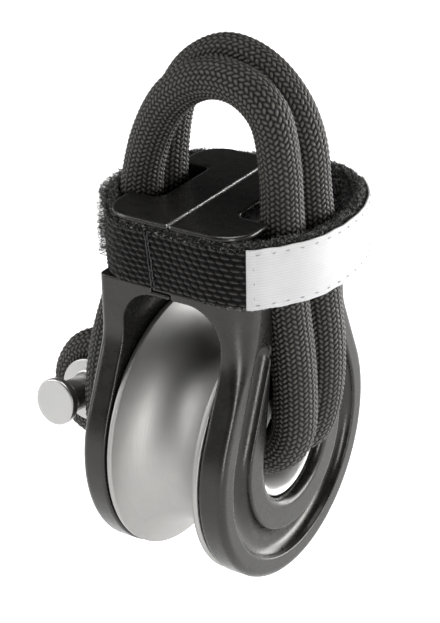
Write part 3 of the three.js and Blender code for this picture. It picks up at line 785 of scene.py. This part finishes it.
def add_strop(material):
    tows = 26
    row_pitch = 1.16
    relief = 0.66
    middle_height = 0.6
    around_steps, rings_per_row = 156, 7
    thinner = 0.09  # the cover is drawn tighter over the arches
    arch_low, arch_high = 46.0, 64.0
    line, _ = evenly(through(strop_route()), 0.9)
    line, length = evenly(smoothed(line, 4), row_pitch / rings_per_row)
    line = smoothed(line, 20)
    _, normal, side = frames_along(line)
    turn = np.linspace(0, 2 * math.pi, around_steps, endpoint=False)
    along = np.arange(len(line)) * (length / (len(line) - 1)) / row_pitch
    around = np.broadcast_to(turn * tows / (2 * math.pi), (len(line), around_steps))
    height, place = braid_height(around, along[:, None] + np.zeros_like(around))
    slim = 1 - thinner * smooth_step(line[:, 2], arch_low, arch_high)
    radius = slim[:, None] * (ROPE_D / 2 + 0.05) + relief * (height - middle_height)
    ring = np.cos(turn)[None, :, None] * normal[:, None] + np.sin(turn)[None, :, None] * side[:, None]
    points = line[:, None] + radius[..., None] * ring
    faces = grid_faces(len(line), around_steps, closed_columns=True)
    rope = add_mesh("strop_rope", points.reshape(-1, 3), faces, material)
    point_attribute(rope, "crown", height)
    tow = rope.data.attributes.new("tow", "FLOAT_VECTOR", "POINT")
    tow.data.foreach_set("vector", place.astype(np.float32).ravel())
    cap_ends(rope, around_steps)
    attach(rope, "block")
    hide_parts("strop")
    return length


def cap_ends(tube, width):
    """Closes the two open ends of a tube made of rings of width points."""
    shape = bmesh.new()
    shape.from_mesh(tube.data)
    shape.verts.ensure_lookup_table()
    count = len(shape.verts)
    for start in (0, count - width):
        shape.faces.new([shape.verts[start + k] for k in range(width)])
    bmesh.ops.recalc_face_normals(shape, faces=shape.faces)
    shape.to_mesh(tube.data)
    shape.free()


# ---------------------------------------------------------------- strap
def strap_plan():
    """Plan of the strap's innermost face: close round the crown's front, loose round the strands."""
    points = [
        (-11, -19.9), (0, -19.9), (11, -19.9), (16.5, -18.2), (20.6, -12.5), (24, -6), (25.4, 2), (24.8, 11),
        (21.5, 19.5), (15.5, 25.2), (7.5, 26.8), (-2, 24.2), (-11, 21.2), (-19, 17.6), (-23.6, 10.5),
        (-24.1, 3), (-23.6, -4), (-22.5, -7.8), (-19.2, -12.4), (-15.9, -16.8), (-13.7, -19),
    ]
    return through([(x, y, 0) for x, y in points], closed=True)


class StrapLine:
    """The strap's plan with its outward direction, by distance along it in millimetres."""

    def __init__(self):
        self.line, self.length = evenly(strap_plan(), 0.25, closed=True)
        ahead, behind = np.roll(self.line, -1, 0), np.roll(self.line, 1, 0)
        tangent = (ahead - behind)[:, :2]
        for _ in range(8):
            tangent = (np.roll(tangent, -1, 0) + 2 * tangent + np.roll(tangent, 1, 0)) / 4
        tangent /= np.linalg.norm(tangent, axis=1)[:, None]
        self.outward = np.column_stack([tangent[:, 1], -tangent[:, 0]])

    def at(self, distance, out):
        """x and y at distances along the strap, moved outwards by out."""
        steps = len(self.line)
        place = np.asarray(distance) / self.length * steps
        index = np.arange(steps + 1)
        wrapped = np.mod(place, steps)
        plan = [np.interp(wrapped, index, np.append(self.line[:, k], self.line[0, k])) for k in (0, 1)]
        away = [np.interp(wrapped, index, np.append(self.outward[:, k], self.outward[0, k])) for k in (0, 1)]
        return plan[0] + out * away[0], plan[1] + out * away[1]


def sag(x):
    """How far the strap hangs lower where it leaves the crown on the right."""
    return -1.0 * smooth_step(x, 12.0, 26.0)


def strap_band(
    name, strap, inner, thick, z_range, material, relief=None, depth=0.0, span=None, columns=0, rows=24,
):
    """A band along the strap.

    relief(distance, height) is the outer face's relief from 0 to 1, and depth is its size.
    """
    start, end = span or (0, strap.length)
    closed = span is None
    columns = columns or round((end - start) / 0.8)
    distance = np.linspace(start, end, columns, endpoint=not closed)
    tall = z_range[1] - z_range[0]
    d, s = np.meshgrid(distance, np.linspace(0, 1, rows), indexing="ij")
    middle_height = 0.7
    bulge = 0.12 * np.sin(math.pi * s)
    height = relief(d, s * tall) if relief else np.full_like(d, middle_height)
    out_x, out_y = strap.at(d, inner + thick + bulge + depth * (height - middle_height))
    in_x, in_y = strap.at(d, inner + bulge)
    wave_size, short_wave, long_wave = 0.055, 5.3, 8.1
    waves = np.cos(2 * math.pi * d / short_wave) + np.cos(2 * math.pi * d / long_wave + 1)
    z = z_range[0] + s * tall + sag(in_x) + wave_size * waves * np.abs(2 * s - 1)
    outer = np.stack([out_x, out_y, z], -1)
    inside = np.stack([in_x, in_y, z], -1)[:, ::-1]
    section = np.concatenate([outer, inside], 1)
    width = section.shape[1]
    faces = grid_faces(columns, width, closed_rows=closed, closed_columns=True)
    band = add_mesh(name, section.reshape(-1, 3), faces[:, ::-1], material)
    point_attribute(band, "crown", np.concatenate([height, np.full_like(height, 0.6)], 1))
    if not closed:
        cap_ends(band, width)
    return band


def cross_seam(height):
    """Where the stitched seam across the tape is, as a distance along the strap: it leans a little."""
    return CROSS_SEAM + 1.5 * (0.5 - height / (STRAP_Z[1] - STRAP_Z[0]))


def tape_weave(distance, height):
    """Rows of short slanted threads, each row a little ahead of the one below; a seam presses them flat."""
    row_pitch = 1.25
    from_seam = distance - cross_seam(height)
    thread_length = np.where(from_seam > 0, 1.9, 1.7)
    slant = np.where(from_seam > 0, 0.12, 0.34)
    row = np.floor(height / row_pitch)
    across = 2 * (height / row_pitch - row) - 1
    jitter = 0.08 * np.sin(3.1 * row + 0.4 * distance)
    along = 2 * np.mod(from_seam / thread_length + 0.37 * row + slant * across + jitter, 1) - 1
    round_row = np.sqrt(np.maximum(0, 1 - np.abs(across) ** 2.0))
    round_thread = np.sqrt(np.maximum(0, 1 - np.abs(along) ** 2.4))
    pressed = smooth_step(np.abs(from_seam), 0.3, 1.1)
    yarns = 0.82 + 0.18 * np.cos(2 * math.pi * across)
    return round_row * yarns * (0.12 + 0.88 * round_thread) * (0.45 + 0.55 * pressed)


def label_ribs(distance, height):
    """Fine ribs along the label, and the folded hem at its left end."""
    rib_pitch, hem_width = 0.62, 1.5
    hem = smooth_step(LABEL_SPAN[0] - distance, -hem_width, -0.9 * hem_width)
    slow = 0.25 * np.sin(distance / 3.7) + 0.2 * np.sin(distance / 8.3 + 1)
    return 0.45 + 0.3 * np.cos(2 * math.pi * (height / rib_pitch + slow)) + 0.25 * hem


def add_strap(tape, fibre, seam_fibre, cloth, stitch):
    strap = StrapLine()
    z_low, z_high = STRAP_Z
    webbing_in = LINING_THICK + STRAP_GAP
    label_in = webbing_in + WEBBING_THICK + 0.12
    fine = 0.22
    webbing = strap_band(
        "strap_tape", strap, webbing_in - 0.25, WEBBING_THICK + 0.2, STRAP_Z, tape, relief=tape_weave,
        depth=0.72, columns=round(strap.length / fine), rows=round((z_high - z_low) / (fine * 0.5)),
    )
    lining = strap_band("strap_backing", strap, 0.05, LINING_THICK, (z_low + 0.1, z_high - 0.1), fibre)
    fuzz = add_fuzz(strap, fibre)
    label = strap_band(
        "woven_label", strap, label_in, 0.34, (z_low - 0.1, z_high + 0.2), cloth, relief=label_ribs,
        depth=0.03, span=LABEL_SPAN, columns=240, rows=120,
    )
    for piece, nodes, slot in (
        (webbing, ["strap_webbing"], "webbing"), (lining, ["strap_lining"], "webbing"),
        (fuzz, [], "webbing"), (label, ["strap_label"], "label"),
    ):
        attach(piece, "block")
        if nodes:
            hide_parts(*nodes)
    stitches = add_label_stitches(strap, label_in + 0.46, stitch)
    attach(stitches, "block")
    seam = add_seam_stitches(strap, webbing_in + WEBBING_THICK - 0.1, seam_fibre)
    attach(seam, "block")


def tubes(name, lines, radius, sides, material):
    """Many thin tubes as one mesh. lines is an array of (tube, point, xyz)."""
    count, steps = lines.shape[:2]
    tangent = np.gradient(lines, axis=1)
    tangent /= np.maximum(np.linalg.norm(tangent, axis=2), 1e-9)[..., None]
    helper = np.broadcast_to(np.array([0.31, 0.52, 0.8]), tangent.shape)
    across = np.cross(tangent, helper)
    across /= np.maximum(np.linalg.norm(across, axis=2), 1e-9)[..., None]
    other = np.cross(tangent, across)
    turn = np.linspace(0, 2 * math.pi, sides, endpoint=False)
    ring = np.cos(turn)[:, None] * across[:, :, None] + np.sin(turn)[:, None] * other[:, :, None]
    points = lines[:, :, None] + radius * ring
    one = grid_faces(steps, sides, closed_columns=True)
    faces = (one[None] + (np.arange(count) * steps * sides)[:, None, None]).reshape(-1, 4)
    return add_mesh(name, points.reshape(-1, 3), faces, material)


def loop_lines(rng, feet, outward, size, steps=7):
    """Small loops that stand on feet and lean outward, each turned its own way."""
    count = len(feet)
    aside = rng.normal(size=(count, 3))
    aside -= outward * (aside * outward).sum(1)[:, None]
    aside /= np.linalg.norm(aside, axis=1)[:, None]
    wide = size * rng.uniform(0.45, 1.0, count)
    tall = size * rng.uniform(0.7, 1.6, count)
    t = np.linspace(-0.25, math.pi + rng.uniform(0, 0.7), steps)
    lines = (
        feet[:, None] + (wide[:, None] * np.cos(t))[..., None] * aside[:, None]
        + (tall[:, None] * (np.sin(t) + 0.2))[..., None] * outward[:, None]
    )
    return lines + rng.normal(scale=0.06 * size, size=lines.shape)


def nap(strap, rng, count, distances, depths, heights, lean_out, lean_up, size):
    """Loops on the strap: ranges for where they stand and how they lean."""
    count = round(count * (1.0))
    distance = rng.uniform(*distances, count)
    out = rng.uniform(*depths, count)
    x, y = strap.at(distance, out)
    ahead_x, ahead_y = strap.at(distance, out + 1)
    outward = np.column_stack([ahead_x - x, ahead_y - y, np.zeros(count)])
    lean = outward * rng.uniform(*lean_out, count)[:, None]
    lean[:, 2] = rng.uniform(*lean_up, count)
    lean /= np.linalg.norm(lean, axis=1)[:, None]
    feet = np.column_stack([x, y, rng.uniform(*heights, count) + sag(x)])
    return loop_lines(rng, feet, lean, size)


def add_fuzz(strap, fibre):
    """The tape's loop side: a nap inside it, along its top edge, and on its loose end at the front left."""
    rng = np.random.default_rng(7)
    z_low, z_high = STRAP_Z
    full = (0, strap.length)
    whole_thick = LINING_THICK + STRAP_GAP + WEBBING_THICK
    tape_end = strap.length - 8.5
    lines = np.concatenate([
        nap(
            strap, rng, 7500, full, (-0.7, 1.2), (z_high - 0.7, z_high + 0.2),
            (-0.7, 0.5), (1, 1), 0.5,
        ),
        nap(
            strap, rng, 1500, full, (1.3, whole_thick), (z_high - 1.0, z_high - 0.2),
            (0.2, 1.5), (1, 1), 0.3,
        ),
        nap(strap, rng, 6000, full, (0, 0.1), (z_low + 1, z_high), (-1, -1), (-0.2, 0.3), 0.34),
        nap(
            strap, rng, 130, (tape_end - 1.8, tape_end + 1.5), (whole_thick - 0.1, whole_thick),
            (z_high - 10.5, z_high + 0.2), (1, 1), (-0.4, 0.4), 1.05,
        ),
        nap(
            strap, rng, 200, (tape_end - 24, tape_end), (whole_thick - 0.3, whole_thick),
            (z_high - 0.6, z_high), (0.6, 1), (0.1, 1), 0.85,
        ),
        nap(
            strap, rng, 420, (LABEL_SPAN[0] - 8, LABEL_SPAN[0] + 5), (1.0, whole_thick),
            (z_low - 0.2, z_low + 0.2), (-0.3, 0.3), (-1, -1), 0.34,
        ),
    ])
    return tubes("strap_nap", lines, 0.05, 3, fibre)


def stitch_line(strap, distance, out, z):
    """A short stitch through points at those distances and heights, proud in its middle."""
    arch = 0.08 * np.sin(np.linspace(0, math.pi, len(distance)))
    x, y = strap.at(distance, out + arch - 0.05)
    return np.column_stack([x, y, z + sag(x)])


def add_label_stitches(strap, out, material):
    """Short stitches round the label, near its edges."""
    z_low, z_high = STRAP_Z
    inset, pitch = 0.9, 3.2
    reach = np.linspace(-0.3, 0.3, 5)
    level = np.zeros(5)
    lines = []
    for z in (z_low + inset, z_high - inset):
        for distance in np.arange(LABEL_SPAN[0] + 1.8, LABEL_SPAN[1] - 1, pitch):
            lines.append(stitch_line(strap, distance + reach, out, z + level))
    for z in np.arange(z_low + 2.6, z_high - 1.5, pitch):
        lines.append(stitch_line(strap, LABEL_SPAN[0] + 1.2 + level, out, z + reach))
    return tubes("label_stitches", np.array(lines), 0.13, 6, material)


def add_seam_stitches(strap, out, material):
    """Two rows of overlapping stitches up the tape's cross seam."""
    rng = np.random.default_rng(3)
    z_low, z_high = STRAP_Z
    lines = []
    for row in (-0.35, 0.3):
        for z in np.arange(z_low + 0.5, z_high - 0.7, 0.75):
            start, end = rng.normal(scale=0.1, size=2)
            middle = cross_seam(z - z_low) + row
            lines.append(stitch_line(
                strap, middle + np.linspace(start, end, 5), out, z + np.linspace(-0.5, 0.5, 5),
            ))
    return tubes("seam_stitches", np.array(lines), 0.14, 6, material)


# ---------------------------------------------------------------- carried-over CAD nodes
def dress_node(name, material):
    node = NODES[name]
    node.data.materials.clear()
    node.data.materials.append(material)


def dress_bearing(steel, polymer):
    dress_node("outer_race", steel)
    for name in ("roller_cage", "left_thrust_washer", "right_thrust_washer"):
        dress_node(name, polymer)
    for name in NODES:
        if name.startswith("roller_") and name != "roller_cage":
            dress_node(name, steel)
            NODES[name].data.polygons.foreach_set("use_smooth", [True] * len(NODES[name].data.polygons))


# ---------------------------------------------------------------- studio
def add_floor():
    mesh = bpy.data.meshes.new("floor")
    half = 6.0
    z = CAD_BOX[0].z - 0.05
    corners = [(-half, -half, z), (half, -half, z), (half, half, z), (-half, half, z)]
    mesh.from_pydata(corners, [], [(0, 1, 2, 3)])
    floor = bpy.data.objects.new("floor", mesh)
    material, tree, shader = new_material("pale_floor")
    shader.inputs["Base Color"].default_value = (0.9, 0.9, 0.9, 1)
    shader.inputs["Roughness"].default_value = 0.9
    shader.inputs["Specular IOR Level"].default_value = 0.0
    shader.inputs["Emission Color"].default_value = (1, 1, 1, 1)
    shader.inputs["Emission Strength"].default_value = 0.56
    mesh.materials.append(material)
    bpy.context.scene.collection.objects.link(floor)


def add_area_light(name, direction, distance, size, power):
    """A soft light that shines at the middle of the block from that direction; metres and watts."""
    light = bpy.data.lights.new(name, "AREA")
    light.shape = "RECTANGLE"
    light.size, light.size_y = size
    light.energy = power
    lamp = bpy.data.objects.new(name, light)
    target = (CAD_BOX[0] + CAD_BOX[1]) / 2
    place = target + Vector(direction).normalized() * distance
    lamp.visible_camera = False
    turn = (place - target).to_track_quat("Z", "Y").to_matrix().to_4x4()
    lamp.matrix_world = Matrix.Translation(place) @ turn
    bpy.context.scene.collection.objects.link(lamp)


def add_studio():
    add_floor()
    world = bpy.data.worlds.new("studio")
    bpy.context.scene.world = world
    world.use_nodes = True
    tree = world.node_tree
    background = tree.nodes["Background"]
    coordinates = add_node(tree, "ShaderNodeTexCoord")
    split = add_node(tree, "ShaderNodeSeparateXYZ")
    tree.links.new(coordinates.outputs["Generated"], split.inputs["Vector"])
    shade = ramp(tree, split.outputs["Z"], 0.05, 0.30, (0.9,) * 3, (0.07,) * 3)
    tree.links.new(shade, background.inputs["Color"])
    background.inputs["Strength"].default_value = 0.35
    add_area_light("key", (0.58, 0.8, 0.03), 0.8, (0.9, 0.4), 9.8)
    add_area_light("fill", (-1.0, -0.6, 0.5), 0.9, (0.5, 0.7), 4.8)
    add_area_light("strip", (0.7, -0.7, 0.1), 0.8, (0.12, 0.6), 3.6)
    add_area_light("top", (0.0, 0.1, 1.0), 0.9, (0.5, 0.5), 5.6)
    add_area_light("right", (0.8, 0.6, -0.1), 0.9, (0.5, 0.4), 7.0)
    bpy.context.scene.view_settings.view_transform = "Standard"


# ---------------------------------------------------------------- assembly
add_camera()
anodised = anodised_aluminium()
steel = turned_steel("axle_steel", 0.72, 0.42, (1, 0.03, 0.03), metallic=0.6)
toggle_steel = turned_steel("toggle_steel", 0.44, 0.33, (1, 1, 1))
strop_length = add_strop(braided_cover())
add_cheeks(anodised)
add_sheave(satin_aluminium())
add_axle(steel)
add_toggle(toggle_steel)
# Painted glints on the nap up to 0.26 grey; on the seam stitches they stay nearly black.
loop_fibre = black_fibre("loop_fibre", 0.26)
seam_fibre = black_fibre("seam_fibre", 0.03)
add_strap(woven_tape(), loop_fibre, seam_fibre, label_cloth(), thread())
dress_bearing(steel, bearing_polymer())
add_studio()
